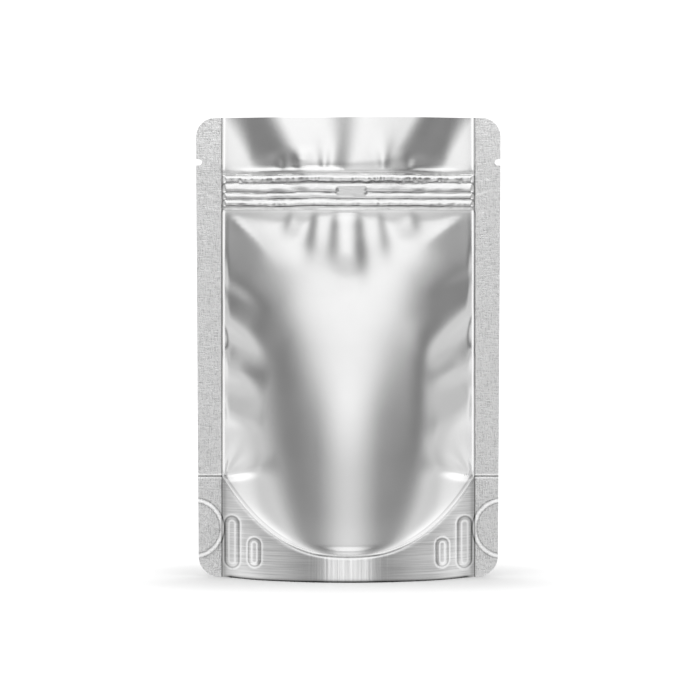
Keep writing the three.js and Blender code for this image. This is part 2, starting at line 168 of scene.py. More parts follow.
CORNER_FOLDS = [
    ((-49.5, 144.5), (-25, 120), (2.0, 6.0), 0.45, "tent"),
    ((49.5, 144.5), (22, 124), (2.0, 6.0), 0.45, "tent"),
    ((-49.5, 144.5), (-30, 125), (0.7, 1.2), 0.22, "ridge"),
    ((49.5, 144.5), (27, 129), (0.7, 1.2), 0.22, "ridge"),
    ((-49.5, 39.2), (-26, 46), (1.0, 4.6), 1.7, "ridge"),
    ((49.5, 39.2), (27, 46.5), (1.0, 4.6), 1.7, "ridge"),
    ((-49.5, 39), (-40, 56), (0.7, 2.6), 0.8, "ridge"),
    ((49.5, 39), (40, 55), (0.7, 2.6), 0.8, "ridge"),
]
SIDE_FOLDS = [
    ((-49.5, 116), (-29, 103), (2.4, 2.6), 0.2, "pleat"),
    ((-49.5, 99.6), (-30, 84), (3.0, 3.2), 0.32, "pleat"),
    ((-49.5, 84), (-31, 74.7), (5.6, 4.2), 1.5, "fold"),
    ((-49.5, 65.8), (-33, 58.3), (4.8, 4.0), 1.2, "fold"),
    ((49.5, 120.5), (29, 110), (2.4, 2.6), -0.14, "pleat"),
    ((49.5, 104), (28, 83), (3.0, 3.4), -0.32, "pleat"),
    ((49.5, 85.4), (30, 76), (4.6, 3.6), 1.2, "fold"),
    ((49.5, 70), (31, 53), (6.0, 5.0), 1.4, "fold"),
    ((29, 92), (29, 10), (7.0, 8.0), 0.55, "fold"),
]
# Each kind comes up over one stretch of its length and dies out from a share of it on
CREASE_RISE = {"tent": (-0.1, 0.15), "ridge": (-0.15, 0.0), "fold": (-0.15, 0.05)}
CREASE_FADE = {"pleat": 0.35, "tent": 0.3, "ridge": 0.1, "fold": 0.3}
PLEAT_REACH = 4.0
TENT_BLUNT = 0.35
# The folds under the zip and how far under it they come up
UNDER_ZIP = [(PLEATS, (-2.0, 5.0)), (SIDE_FOLDS, (0.0, 3.0)), (CORNER_FOLDS, (0.0, 8.0))]
OVER_ZIP = (-0.5, 1.5)
CREASE_TAPER = 3.0


def smooth(value, low=0.0, high=1.0):
    share = np.clip((value - low) / (high - low), 0, 1)
    return share * share * (3 - 2 * share)


def soft_step(value):
    return np.log1p(np.exp(value))


def bell(value):
    return np.exp(-(value**2))


def from_seal(x, run):
    """Nothing at the side seals, and all of a form from a run beside them inwards."""
    return smooth(SEAL_EDGE - np.abs(x), 0, run)


def rough(x, z, seed=0.0):
    """Fixed value noise over x and z, from -1 to 1."""

    def lattice(i, j):
        mixed = np.sin(i * 127.1 + j * 311.7 + seed * 74.7) * 43758.5453
        return np.modf(np.abs(mixed))[0] * 2 - 1

    i, j = np.floor(x), np.floor(z)
    a, b = smooth(x - i), smooth(z - j)
    low = lattice(i, j) * (1 - a) + lattice(i + 1, j) * a
    high = lattice(i, j + 1) * (1 - a) + lattice(i + 1, j + 1) * a
    return low * (1 - b) + high * b


def wander(x, row, amount, run, seed):
    """Noise along x alone, with another course for each row."""
    return amount * rough(x / run, x * 0 + row, seed)


def crumple(x, z, amount, run, rise, seed):
    return amount * rough(x / run, z / rise, seed)


def foot_seal(x):
    share = np.minimum(np.abs(x) / SEAL_EDGE, 1)
    return FOOT_SEAL_MIDDLE + (FOOT_SEAL_SIDE - FOOT_SEAL_MIDDLE) * share**FOOT_SEAL_POWER


def inflation(z):
    """Half the depth of the filled pouch on its middle line: a wedge that rounds off low."""
    below = np.hypot(np.maximum(ZIP_BOTTOM - z, 0), BELLY_START) - BELLY_START
    over = BELLY_ROUND * soft_step((below - BELLY_RUN) / BELLY_ROUND)
    return MOUTH_DEPTH + BELLY_SLOPE * (below - over) - BOW * smooth(z, LEAN_BOTTOM, ZIP_BOTTOM)


def section(x, z):
    """How full the pouch is across its width: round low down and flat in the middle above."""
    share = np.minimum(np.abs(x) / SEAL_EDGE, 1)
    turn, width = SHOULDER
    shoulder = 1 - soft_step((share - turn) / width) / soft_step((1 - turn) / width)
    mix = smooth(z, *ROUND_TO_FLAT)
    return (1 - share**2) * (1 - mix) + shoulder * mix


def lip(x, z):
    """The film swells out straight above the foot seal."""
    share = np.minimum(np.abs(x) / SEAL_EDGE, 1)
    spread = smooth(share, *LIP_RISE_SHARES)
    rise = LIP_RISE_MIDDLE + (LIP_RISE_SIDE - LIP_RISE_MIDDLE) * spread
    above = np.maximum(z - foot_seal(x), 0)
    swell = LIP_SLOPE * rise * (1 - np.exp(-above / rise))
    return swell * from_seal(x, LIP_EDGE) * (1 - smooth(z, *LIP_FADE))


def flare(x, z):
    """The skirt spreads towards the foot, and its lowest edge curls in."""
    depth, height, curl_run = EDGE_CURL
    slope, run = SKIRT_FLARE
    curl = depth * np.clip(1 - z / height, 0, 1) ** 2 * from_seal(x, curl_run)
    return slope * np.maximum(foot_seal(x) - z, 0) * from_seal(x, run) - curl


def bow(x, z):
    """The forward bow of the zip and the mouth."""
    up = np.clip((z - ZIP_TOP) / (HEIGHT - ZIP_TOP), 0, 1)
    start = BOW_START_ZIP + (BOW_START_TOP - BOW_START_ZIP) * up
    across = smooth(start - np.abs(x), 0, BOW_RUN)
    mix = smooth(z, *BOW_RISE)
    across = section(x, z) * (1 - mix) + across * mix
    low = BOW * smooth(z, LEAN_BOTTOM, ZIP_BOTTOM)
    return (low + (BOW_TOP - BOW) * mix) * across


def zip_pad(x, z):
    """1 on the blank pad in the zip and 0 round it."""
    middle, half, height, half_height = PAD
    edge, edge_up = PAD_EDGE
    across = smooth(half + edge - np.abs(x - middle), 0, 2 * edge)
    return across * smooth(half_height + edge_up - np.abs(z - height), 0, 2 * edge_up)


def zip_ribs(x, z):
    """The ribs wander a little and swell here and there."""
    ribs = np.zeros_like(x * z)
    for crest, above, below, out in ZIP_RIBS:
        drift = wander(x, crest, *RIB_DRIFT) + wander(x, crest, *RIB_SHIVER)
        swell = 1 + wander(x, crest, *RIB_SWELL)
        across = np.maximum((z - crest - drift) / above, (crest + drift - z) / below)
        ribs = np.maximum(ribs, out * swell * np.cos(np.minimum(across, 1) * np.pi / 2))
    return ribs


def zip_crinkles(x, z):
    """Short upright creases in patches along the outer ribs."""
    rows = sum(share * bell((z - height) / half) for height, half, share in CRINKLED_ROWS)
    patches = smooth(wander(x, 7, *CRINKLED_PATCHES), -0.3, 0.3)
    return crumple(x, z, *CRINKLES) * rows * (CRINKLED_LEAST + (1 - CRINKLED_LEAST) * patches)


def zip_relief(x, z):
    """The press zip: its ribs, crinkles and pad, the groove and the step over it."""
    pad = zip_pad(x, z)
    ribs = zip_ribs(x, z) * (1 - pad) + PAD_OUT * pad
    depth, height, half = ZIP_GROOVE
    groove = depth * bell((z - height - wander(x, 0, *ZIP_GROOVE_DRIFT)) / half)
    step = ZIP_STEP * smooth(z, *ZIP_STEP_UP) * from_seal(x, ZIP_STEP_TAPER)
    return (ribs + zip_crinkles(x, z) - groove) * from_seal(x, ZIP_TAPER) - step


def crease(fold, x, z):
    """A crease runs from one point to another. away is the distance to its right."""
    (x0, z0), (x1, z1), halves, height, kind = fold
    dx, dz = x1 - x0, z1 - z0
    length = math.hypot(dx, dz)
    share = ((x - x0) * dx + (z - z0) * dz) / length**2
    half = halves[0] + (halves[1] - halves[0]) * np.clip(share, 0, 1)
    away = ((x - x0) * dz - (z - z0) * dx) / length / half
    along = 1 - smooth(share, CREASE_FADE[kind], 1.0)
    if kind == "pleat":
        return -height * np.tanh(away) * bell(away / PLEAT_REACH) * half * along
    along = along * smooth(share, *CREASE_RISE[kind])
    if kind == "tent":
        return height * np.exp(TENT_BLUNT - np.hypot(TENT_BLUNT, away)) * along
    return height * bell(away) * along


def creases(x, z):
    """All folds of one panel. They die out at the seals and at the zip."""
    total = sum(crease(fold, x, z) for fold in TOP_PLEATS) * smooth(z - ZIP_TOP, *OVER_ZIP)
    for folds, start in UNDER_ZIP:
        total = total + sum(crease(fold, x, z) for fold in folds) * smooth(ZIP_BOTTOM - z, *start)
    return total * from_seal(x, CREASE_TAPER)


def from_foot_seal(x, z):
    """The distance above the curved foot seal, square to it."""
    near = 0.1
    slope = (foot_seal(x + near) - foot_seal(x - near)) / (2 * near)
    return (z - foot_seal(x)) / np.sqrt(1 + slope**2)


def beads(x, z):
    """Thin raised lines along the inner edges of the seals, and the crest over the foot seal."""
    over = np.stack([np.abs(x) - SEAL_EDGE + BEAD_CORNER, z - ZIP_BOTTOM + BEAD_CORNER])
    outside = np.hypot(*np.maximum(over, 0)) + np.minimum(over.max(0), 0) - BEAD_CORNER
    body = bell(outside / BEAD_HALF) * smooth(z, FOOT_SEAL_SIDE - 1, FOOT_SEAL_SIDE + 1)
    above = bell((np.abs(x) - SEAL_EDGE) / BEAD_HALF) * smooth(z, ZIP_TOP, ZIP_TOP + 1)

    away = from_foot_seal(x, z)
    height, half = FOOT_BEAD
    foot = height * bell(away / half) * (np.abs(x) <= SEAL_EDGE)
    height, place, half = FOOT_CREST
    length, taper = FOOT_CREST_END
    crest = height * bell((away - place) / half) * smooth(away, *FOOT_CREST_RISE)
    foot = foot + crest * smooth(length - np.abs(x), 0, taper)
    return np.maximum(BEAD_HEIGHT * np.maximum(body, above), foot)


def marks(x, z):
    """The embossed marks of the seals and the skirt."""
    wide = np.abs(x)
    in_seal = smooth(wide, SEAL_EDGE, SEAL_EDGE + 0.8)
    ring = np.hypot(wide - ARC_CENTRE[0], z - ARC_CENTRE[1]) - ARC_RADIUS
    total = ARC_BEAD[0] * bell(ring / ARC_BEAD[1]) * in_seal
    total = total + STEP_BEAD[0] * bell((z - FOOT_SEAL_SIDE) / STEP_BEAD[1]) * in_seal
    depth, outside, groove_half = PILL_GROOVE
    for place, radius, bottom, top in PILLS:
        away = np.hypot(wide - place, z - np.clip(z, bottom + radius, top - radius))
        total = total + PILL_HEIGHT * np.maximum(1 - (away / radius) ** 2, 0) ** PILL_ROUND
        total = total - depth * bell((away - radius - outside) / groove_half)
    height, place, half, bottom, top = RIB_LINE
    ends = smooth(z, bottom, bottom + 2) * smooth(top - z, 0, 2)
    return total + height * bell((wide - place) / half) * ends


def crushed(x, z):
    """The crumpled ends of the zip in the side seals."""
    bottom, top = CRUSHED_UP
    place = smooth(np.abs(x), SEAL_EDGE, SEAL_EDGE + 1)
    place = place * smooth(z - bottom, 0, CRUSHED_TAPER) * smooth(top - z, 0, CRUSHED_TAPER)
    return place * (crumple(x, z, *CRUSHED_FINE) + crumple(x, z, *CRUSHED_COARSE))


def panel_depth(x, z, side):
    """How far a panel stands from the middle plane. side is -1 for the front, 1 for the back."""
    above = np.maximum(z - ZIP_TOP, 0)
    back = -side * TOP_LEAN * above**2 / (above + TOP_LEAN_START)
    shared = SEAL_THICKNESS / 2 + inflation(z) * section(x, z) + lip(x, z) + flare(x, z)
    relief = zip_relief(x, z) + creases(-side * x, z) + beads(x, z) + marks(x, z) + crushed(x, z)
    return shared + relief - side * bow(x, z) - back


# ---------------------------------------------------------------- the mesh of the pouch

BELLY_TOP = 70.0  # the rows of the grid bend with the foot seal up to here
EDGE_SHARE = 0.95  # the columns lie closer from this share of the inside on
SKIRT_EDGE_SHARE = 0.96
COLUMNS = {"panel": 70, "panel edge": 12, "seal": 20}
ROWS = {"foot corner": 9, "skirt": 24, "skirt edge": 4, "belly": 44, "body": 42, "zip": 58}
TOP_ROWS = {"straight": 9, "corner": 11}
ZIP_MARGIN = (1.2, 0.9)  # how far the close rows of the zip reach under and over it


def outer_edge(z):
    """Half the width of the pouch at a height: round corners and tear notches."""
    edge = HALF_WIDTH - SIDE_PULL * (1 - z / HEIGHT)
    high = np.clip(z - (HEIGHT - TOP_CORNER_RADIUS), 0, TOP_CORNER_RADIUS)
    edge = edge - TOP_CORNER_RADIUS + np.sqrt(TOP_CORNER_RADIUS**2 - high**2)
    low = np.clip(FOOT_CORNER_RADIUS - z, 0, FOOT_CORNER_RADIUS)
    edge = edge - FOOT_CORNER_RADIUS + np.sqrt(FOOT_CORNER_RADIUS**2 - low**2)
    off = np.abs(z - NOTCH_HEIGHT)
    inner = NOTCH_DEPTH - NOTCH_HALF + np.sqrt(np.maximum(NOTCH_HALF**2 - off**2, 0))
    return np.where(off < NOTCH_HALF, edge - inner, edge)


def graded(start, end, count, power=1.0):
    return start + (end - start) * (np.arange(1, count + 1) / count) ** power


def column_places():
    """Shares across the pouch: up to 1 the inside, and from 1 to 2 the side seal."""
    panel = graded(0, EDGE_SHARE, COLUMNS["panel"])
    panel_edge = graded(EDGE_SHARE, 1, COLUMNS["panel edge"])
    seal = graded(1, 2, COLUMNS["seal"], 1.15)
    right = np.concatenate([[0], panel, panel_edge, seal])
    return np.concatenate([-right[:0:-1], right])


def skirt_rows():
    """Shares of the height of the foot seal."""
    turn = np.linspace(0, math.pi / 2, ROWS["foot corner"])
    corner = (1 - np.cos(turn)) * FOOT_CORNER_RADIUS / FOOT_SEAL_SIDE
    skirt = graded(corner[-1], SKIRT_EDGE_SHARE, ROWS["skirt"])
    return np.concatenate([corner, skirt, graded(SKIRT_EDGE_SHARE, 1, ROWS["skirt edge"])])


def upper_rows():
    """Heights of the level rows, over BELLY_TOP."""
    zip_start, zip_end = ZIP_BOTTOM - ZIP_MARGIN[0], ZIP_TOP + ZIP_MARGIN[1]
    body = graded(BELLY_TOP, zip_start, ROWS["body"])
    zip_rows = graded(zip_start, zip_end, ROWS["zip"])
    near = 0.01
    across = np.array([-1 - near, -1 + near, -0.6, 0, 0.6, 1 - near, 1 + near])
    notch = NOTCH_HEIGHT + NOTCH_HALF * across
    corner_start = HEIGHT - TOP_CORNER_RADIUS
    straight = graded(notch[-1] + 0.5, corner_start, TOP_ROWS["straight"])
    turn = np.linspace(0.12, 1, TOP_ROWS["corner"]) * math.pi / 2
    corner = corner_start + TOP_CORNER_RADIUS * np.sin(turn)
    return np.concatenate([body, zip_rows, notch, straight, corner])


def grid():
    """X and z of the points of a panel, by column and row."""
    shares = column_places()
    above = upper_rows()
    inside = np.clip(shares, -1, 1) * SEAL_EDGE
    seal = foot_seal(inside)[:, None]
    low = seal * skirt_rows()[None, :]
    middle = seal + (BELLY_TOP - seal) * graded(0, 1, ROWS["belly"], 1.6)[None, :]
    high = np.broadcast_to(above[None, :], (len(shares), len(above)))
    z = np.concatenate([low, middle, high], 1)
    out = np.clip(np.abs(shares) - 1, 0, 1)[:, None] * np.sign(shares)[:, None]
    x = inside[:, None] + out * (outer_edge(z) - SEAL_EDGE)
    return x, z


def underside(x):
    """Y and z of lines of points under the columns, from front to back: the inner side of the
    front skirt, over the fold of the base, and the inner side of the back skirt."""
    seal = foot_seal(x)
    rise = smooth(np.abs(x), BASE_PATCH_END, BASE_END) ** 2
    ends = smooth(BASE_END + BASE_END_TAPER - np.abs(x), 0, BASE_END_TAPER)
    fold = BASE_FOLD_SHARE * FOOT_SEAL_SIDE * rise
    top = np.maximum(seal + (fold - seal) * rise, fold) * ends
    fold = np.maximum(fold - BASE_CLEARANCE, 0) * ends

    def wall(share, side):
        inner = panel_depth(x, top * share, side) - SEAL_THICKNESS / 4
        return side * np.maximum(inner, SKIRT_LEAST), top * share

    over = []
    front_wall, back_wall = wall(1, -1)[0], wall(1, 1)[0]
    for i in range(1, BASE_STEPS):
        across = 2 * i / BASE_STEPS - 1
        out = max((abs(across) - BASE_PATCH) / (1 - BASE_PATCH), 0)
        y = front_wall + (back_wall - front_wall) * i / BASE_STEPS
        over.append((y, fold + (top - fold) * out**BASE_RISE_POWER))
    front = [wall(share, -1) for share in SKIRT_STEPS]
    back = [wall(share, 1) for share in SKIRT_STEPS[::-1]]
    return front + over + back


def mouth(x, y_front, y_back):
    """Y and z of lines of points over the top edge: two films with a fine gap between them."""
    depth, taper = MOUTH_GROOVE
    middle = (y_front + y_back) / 2
    half = (y_back - y_front) / 2
    inner = np.maximum(half - FILM, half * LIP_SHARE)
    level = HEIGHT + 0 * x
    gap = HEIGHT - depth * from_seal(x, taper)
    return [(middle - inner, level), (middle, gap), (middle + inner, level)]


class Shell:
    """The points and faces of one closed surface."""

    def __init__(self):
        self.points = []
        self.faces = []
        self.count = 0

    def add(self, x, y, z):
        """Adds points and returns their numbers, in the layout of x."""
        spots = np.stack([x, y, z], -1).reshape(-1, 3)
        self.points.append(spots)
        self.count += len(spots)
        return np.arange(self.count - len(spots), self.count).reshape(x.shape)

    def cells(self, a, b, c, d):
        corners = [a.ravel(), b.ravel(), c.ravel(), d.ravel()]
        self.faces.extend(np.stack(corners, -1).tolist())

    def strip(self, a, b):
        """Faces between two lines of points."""
        self.cells(a[:-1], a[1:], b[1:], b[:-1])

    def mesh(self, name):
        mesh = bpy.data.meshes.new(name)
        mesh.from_pydata((np.concatenate(self.points) * MM).tolist(), [], self.faces)
        mesh.validate()
        mesh.update()
        return mesh


def side_edge(front, back, under, over, end):
    """Faces up one side edge. The lowest takes in the underside and the highest the mouth."""
    loops = []
    last = front.shape[1] - 1
    for j in range(last):
        loop = [back[end, j], front[end, j], front[end, j + 1], back[end, j + 1]]
        if j == 0:
            loop = [line[end] for line in under[::-1]] + loop[2:]
        if j == last - 1:
            loop = loop[:2] + [line[end] for line in over]
        loops.append([int(point) for point in (loop[::-1] if end else loop)])
    return loops


def pouch_mesh():
    """Both panels, joined by the mouth, the underside and the side edges."""
    shell = Shell()
    x, z = grid()
    y_front = -panel_depth(x, z, -1)
    y_back = panel_depth(x, z, 1)
    front = shell.add(x, y_front, z)
    back = shell.add(x, y_back, z)
    shell.cells(front[:-1, :-1], front[1:, :-1], front[1:, 1:], front[:-1, 1:])
    shell.cells(back[:-1, :-1], back[:-1, 1:], back[1:, 1:], back[1:, :-1])

    top = x[:, -1]
    lips = [shell.add(top, y, height) for y, height in mouth(top, y_front[:, -1], y_back[:, -1])]
    over = [front[:, -1]] + lips + [back[:, -1]]
    for a, b in zip(over, over[1:]):
        shell.strip(a, b)

    foot = x[:, 0]
    lines = [shell.add(foot, y, height) for y, height in underside(foot)]
    under = [front[:, 0]] + lines + [back[:, 0]]
    for a, b in zip(under, under[1:]):
        shell.strip(b, a)

    for end in (0, -1):
        shell.faces.extend(side_edge(front, back, under, over, end))
    return shell.mesh("pouch_foil")


# ---------------------------------------------------------------- materials


class Nodes:
    """Adds nodes to a node tree and links them. A value is a number or another node's socket."""

    def __init__(self, tree):
        self.tree = tree

    def add(self, kind, **settings):
        node = self.tree.nodes.new(kind)
        for name, value in settings.items():
            setattr(node, name, value)
        return node

    def feed(self, socket, value):
        if isinstance(value, bpy.types.NodeSocket):
            self.tree.links.new(value, socket)
        else:
            socket.default_value = value

    def math(self, operation, a, b=0.0):
        node = self.add("ShaderNodeMath", operation=operation)
        self.feed(node.inputs[0], a)
        self.feed(node.inputs[1], b)
        return node.outputs[0]

    def plus(self, a, b):
        return self.math("ADD", a, b)

    def minus(self, a, b):
        return self.math("SUBTRACT", a, b)

    def times(self, a, b):
        return self.math("MULTIPLY", a, b)

    def size(self, value):
        return self.math("ABSOLUTE", value)

    def blend(self, a, b, share):
        """From a to b by a share."""
        return self.plus(a, self.times(share, self.minus(b, a)))

    def length(self, a, b):
        return self.math("SQRT", self.plus(self.times(a, a), self.times(b, b)))

    def smooth(self, value, low, high, start=0.0, end=1.0):
        node = self.add("ShaderNodeMapRange", interpolation_type="SMOOTHSTEP")
        for socket, given in zip(node.inputs, (value, low, high, start, end)):
            self.feed(socket, given)
        return node.outputs[0]

    def steps(self, value, stretches):
        """The sum of smooth steps, each given as from, to, start and end."""
        summed = self.smooth(value, *stretches[0])
        for stretch in stretches[1:]:
            summed = self.plus(summed, self.smooth(value, *stretch))
        return summed

    def line(self, value, middle, half, strength=1.0):
        """A soft line where a value is near the middle."""
        share = self.math("DIVIDE", self.minus(value, middle), half)
        soft = self.math("EXPONENT", self.times(self.times(share, share), -1.0))
        return self.times(soft, strength)

    def total(self, values):
        """The sum of several values, held between 0 and 1."""
        summed = values[0]
        for value in values[1:]:
            summed = self.plus(summed, value)
        summed.node.use_clamp = True
        return summed

    def noise(self, vector, stretch, detail=2.0):
        """Noise from 0 to 1. stretch is how often it turns in a metre of x, y and z."""
        mapping = self.add("ShaderNodeMapping")
        self.feed(mapping.inputs["Vector"], vector)
        mapping.inputs["Scale"].default_value = stretch
        node = self.add("ShaderNodeTexNoise")
        self.feed(node.inputs["Vector"], mapping.outputs[0])
        node.inputs["Scale"].default_value = 1.0
        node.inputs["Detail"].default_value = detail
        node.inputs["Roughness"].default_value = 0.5
        return node.outputs["Fac"]

    def place(self):
        return self.add("ShaderNodeTexCoord").outputs["Object"]

    def axes(self, place):
        node = self.add("ShaderNodeSeparateXYZ")
        self.feed(node.inputs[0], place)
        return node.outputs[0], node.outputs[1], node.outputs[2]

    def grey(self, tone):
        node = self.add("ShaderNodeCombineColor")
        for socket in node.inputs[:3]:
            self.feed(socket, tone)
        return node.outputs[0]


# Pressed lines drawn by the materials: middle, half width and strength. The white ones are
# painted highlights along the pressed lines, where the foil turns a dull white, and the dark
# ones are painted shade beside them.
ARC_WHITE = (0.0, 0.6, 1.0)
ARC_DARK = (0.95, 0.3, 0.4)
STEP_PLACE = 0.4  # above the ends of the foot seal
STEP_WHITE = (0.6, 0.3, 0.8)
STEP_DARK = (0.0, 0.3, 0.75)
SEAL_WHITE = (-0.75, 0.4, 0.9)
SEAL_DARK = (0.05, 0.28, 0.5)
SKIRT_DARK = (-0.9, 0.9, 0.2)
SKIRT_DARK_RUN = (-8.0, -1.0, 0.0, 0.22)
ZIP_CLEAR = ((143.0, 144.5), (158.5, 160.0))
PILL_WHITE = (0.4, 0.35, 0.7)
PILL_DARK = (-0.3, 0.3, 0.35)
# Painted highlight on the shoulders of the pills
PILL_SHOULDER = (0.4, 0.4, 0.75)  # share of the radius, half width, strength
FOOT_WHITE_UNDER = (-0.7, 0.35, 0.8)
FOOT_WHITE_OVER = (0.55, 0.35, 0.8)
FOOT_DARK = (-0.1, 0.28)
FOOT_DARK_MIDDLE = 0.55
FOOT_DARK_SIDE = 0.15
FOOT_DARK_OVER = (1.5, 0.4, 0.25)
FOOT_MIDDLE = (0.3, 0.6)
# Painted shadow along the lowest edge, where the pouch stands
HEM_DARK = (0.0, 0.9, 0.97)
HEM_TAPER = 4.0


def seal_lines(nodes, wide, z):
    """The lines of the side seals: their inner edge, the arcs and the step at the base fold, as
    painted highlights and painted shade, and painted shade along the sides of the skirt.
    """
    ring = nodes.length(nodes.minus(wide, ARC_CENTRE[0]), nodes.minus(z, ARC_CENTRE[1]))
    ring = nodes.minus(ring, ARC_RADIUS)
    step = nodes.minus(z, FOOT_SEAL_SIDE + STEP_PLACE)
    beside = nodes.minus(wide, SEAL_EDGE)
    in_seal = nodes.smooth(beside, -0.1, 0.3)
    over_skirt = nodes.smooth(z, FOOT_SEAL_SIDE, FOOT_SEAL_SIDE + 1.5)
    zip_start, zip_end = ZIP_CLEAR
    in_zip = nodes.times(nodes.smooth(z, *zip_start), nodes.smooth(z, *zip_end, 1.0, 0.0))
    clear = nodes.times(over_skirt, nodes.minus(1.0, in_zip))
    off_skirt = nodes.math("MAXIMUM", over_skirt, nodes.smooth(beside, 0.0, 0.3))
    # Painted shade along the sides of the skirt, darker towards the seals
    skirt = nodes.plus(nodes.line(beside, *SKIRT_DARK), nodes.smooth(beside, *SKIRT_DARK_RUN))
    white = [
        nodes.line(ring, *ARC_WHITE),
        nodes.times(nodes.line(nodes.size(step), *STEP_WHITE), in_seal),
        nodes.times(nodes.line(beside, *SEAL_WHITE), clear),
    ]
    dark = [
        nodes.line(nodes.size(ring), *ARC_DARK),
        nodes.times(nodes.line(step, *STEP_DARK), in_seal),
        nodes.line(beside, *SEAL_DARK),
        nodes.times(skirt, nodes.minus(1.0, off_skirt)),
    ]
    return white, dark


def pill_lines(nodes, wide, z):
    """Painted highlights on the outlines and the shoulders of the pressed pills, and painted
    shade just inside the outlines.
    """
    white, dark = [], []
    share, half, strength = PILL_SHOULDER
    for place, radius, bottom, top in PILLS:
        height = nodes.math("MINIMUM", nodes.math("MAXIMUM", z, bottom + radius), top - radius)
        away = nodes.length(nodes.minus(wide, place), nodes.minus(z, height))
        beside = nodes.minus(away, radius)
        white.append(nodes.line(beside, *PILL_WHITE))
        white.append(nodes.line(away, radius * share, half, strength))
        dark.append(nodes.line(beside, *PILL_DARK))
    return white, dark


def foot_lines(nodes, wide, z):
    """The pressed line along the foot seal, as painted highlights and painted shade, and a
    painted shadow along the edge that the pouch stands on.
    """
    climb = FOOT_SEAL_SIDE - FOOT_SEAL_MIDDLE
    share = nodes.math("DIVIDE", wide, SEAL_EDGE)
    share.node.use_clamp = True
    seal = nodes.times(nodes.math("POWER", share, FOOT_SEAL_POWER), climb)
    slope = nodes.math("POWER", share, FOOT_SEAL_POWER - 1)
    slope = nodes.times(slope, FOOT_SEAL_POWER * climb / SEAL_EDGE)
    away = nodes.minus(nodes.minus(z, FOOT_SEAL_MIDDLE), seal)
    away = nodes.math("DIVIDE", away, nodes.length(slope, 1.0))

    inside = nodes.smooth(wide, SEAL_EDGE - 0.4, SEAL_EDGE, 1.0, 0.0)
    middle = nodes.smooth(share, *FOOT_MIDDLE, 1.0, 0.0)
    strength = nodes.smooth(share, *FOOT_MIDDLE, FOOT_DARK_MIDDLE, FOOT_DARK_SIDE)
    ends = nodes.smooth(wide, SEAL_EDGE - HEM_TAPER, SEAL_EDGE, 1.0, 0.0)
    white = [
        nodes.times(nodes.line(away, *FOOT_WHITE_UNDER), middle),
        nodes.times(nodes.line(away, *FOOT_WHITE_OVER), inside),
    ]
    dark = [
        nodes.times(nodes.line(away, *FOOT_DARK, strength), inside),
        nodes.times(nodes.line(away, *FOOT_DARK_OVER), nodes.minus(inside, middle)),
        nodes.times(nodes.line(z, *HEM_DARK), ends),
    ]
    return white, dark


def line_work(nodes, place):
    """Pressed lines that are finer than the mesh, drawn in paint: painted highlights along
    them and painted shade beside them."""
    x, _, z = nodes.axes(place)
    wide = nodes.times(nodes.size(x), 1 / MM)
    z = nodes.times(z, 1 / MM)
    white, dark = [], []
    for lines in (seal_lines, pill_lines, foot_lines):
        more_white, more_dark = lines(nodes, wide, z)
        white += more_white
        dark += more_dark
    return nodes.total(white), nodes.total(dark)


# The finishes. Noise is given as turns in a metre of x, y and z, and places are in metres.
# the tone of the painted highlights along the pressed lines
PAINTED_HIGHLIGHT_TONE = 0.95
ROUGHNESS_SPREAD = 0.06
ROUGHNESS_CLOUDS = (60, 60, 60)
GRAIN_DEPTH = 0.0002
KNURL_UPRIGHT = (2700, 2700, 320)
KNURL_LEVEL = (320, 320, 2700)
KNURL_SPECKLE = (2100, 2100, 2100)
KNURL_SHARES = (0.38, 0.24)  # of each set of lines, and of the speckle
KNURL_EDGE = (0.33, 0.64)
BRUSHED_UPRIGHT = (1500, 0, 30)
BRUSHED_LEVEL = (40, 40, 1900)
BRUSHED_TURN = (0.008, 0.02)
# A painted highlight over the middle of the skirt: its strokes and where it ends
SHEEN_STROKES = (1300, 0, 20)
SHEEN_STROKE_TONE = (0.3, 0.7, 0.35, 0.85)
SHEEN_END = (0.005, 0.0125)


def foil_material(name, shade, roughness, relief, painted_sheen=None):
    """Polished foil. relief(nodes, place) gives the height of its fine grain, its strength and
    how far the grain darkens the foil. The last argument, if given, is where a painted
    highlight turns the foil a dull white."""
    material = bpy.data.materials.new(name)
    material.use_nodes = True
    nodes = Nodes(material.node_tree)
    shader = material.node_tree.nodes["Principled BSDF"]
    place = nodes.place()
    height, strength, dark = relief(nodes, place)
    painted_highlight, painted_shade = line_work(nodes, place)
    # The skirt's painted highlight joins that of the lines
    if painted_sheen:
        painted_highlight = nodes.total([painted_highlight, painted_sheen(nodes, place)])

    tone = nodes.plus(nodes.times(height, dark), shade - dark / 2)
    # Painted highlight: along the pressed lines the foil turns a dull white instead of metal
    tone = nodes.blend(tone, PAINTED_HIGHLIGHT_TONE, painted_highlight)
    # Painted shade beside the pressed lines darkens the foil
    tone = nodes.times(tone, nodes.minus(1.0, painted_shade))
    spread = nodes.times(nodes.noise(place, ROUGHNESS_CLOUDS), ROUGHNESS_SPREAD)
    bump = nodes.add("ShaderNodeBump")
    bump.inputs["Strength"].default_value = strength
    bump.inputs["Distance"].default_value = GRAIN_DEPTH
    nodes.feed(bump.inputs["Height"], height)

    nodes.feed(shader.inputs["Base Color"], nodes.grey(tone))
    nodes.feed(shader.inputs["Metallic"], nodes.minus(1.0, painted_highlight))
    nodes.feed(shader.inputs["Roughness"], nodes.plus(spread, roughness - ROUGHNESS_SPREAD / 2))
    nodes.feed(shader.inputs["Normal"], bump.outputs[0])
    return material


def plain_grain(nodes, place):
    return nodes.noise(place, (700, 700, 500)), 0.04, 0.02


def zip_grain(nodes, place):
    return nodes.noise(place, (300, 300, 1500), 3.0), 0.25, 0.2


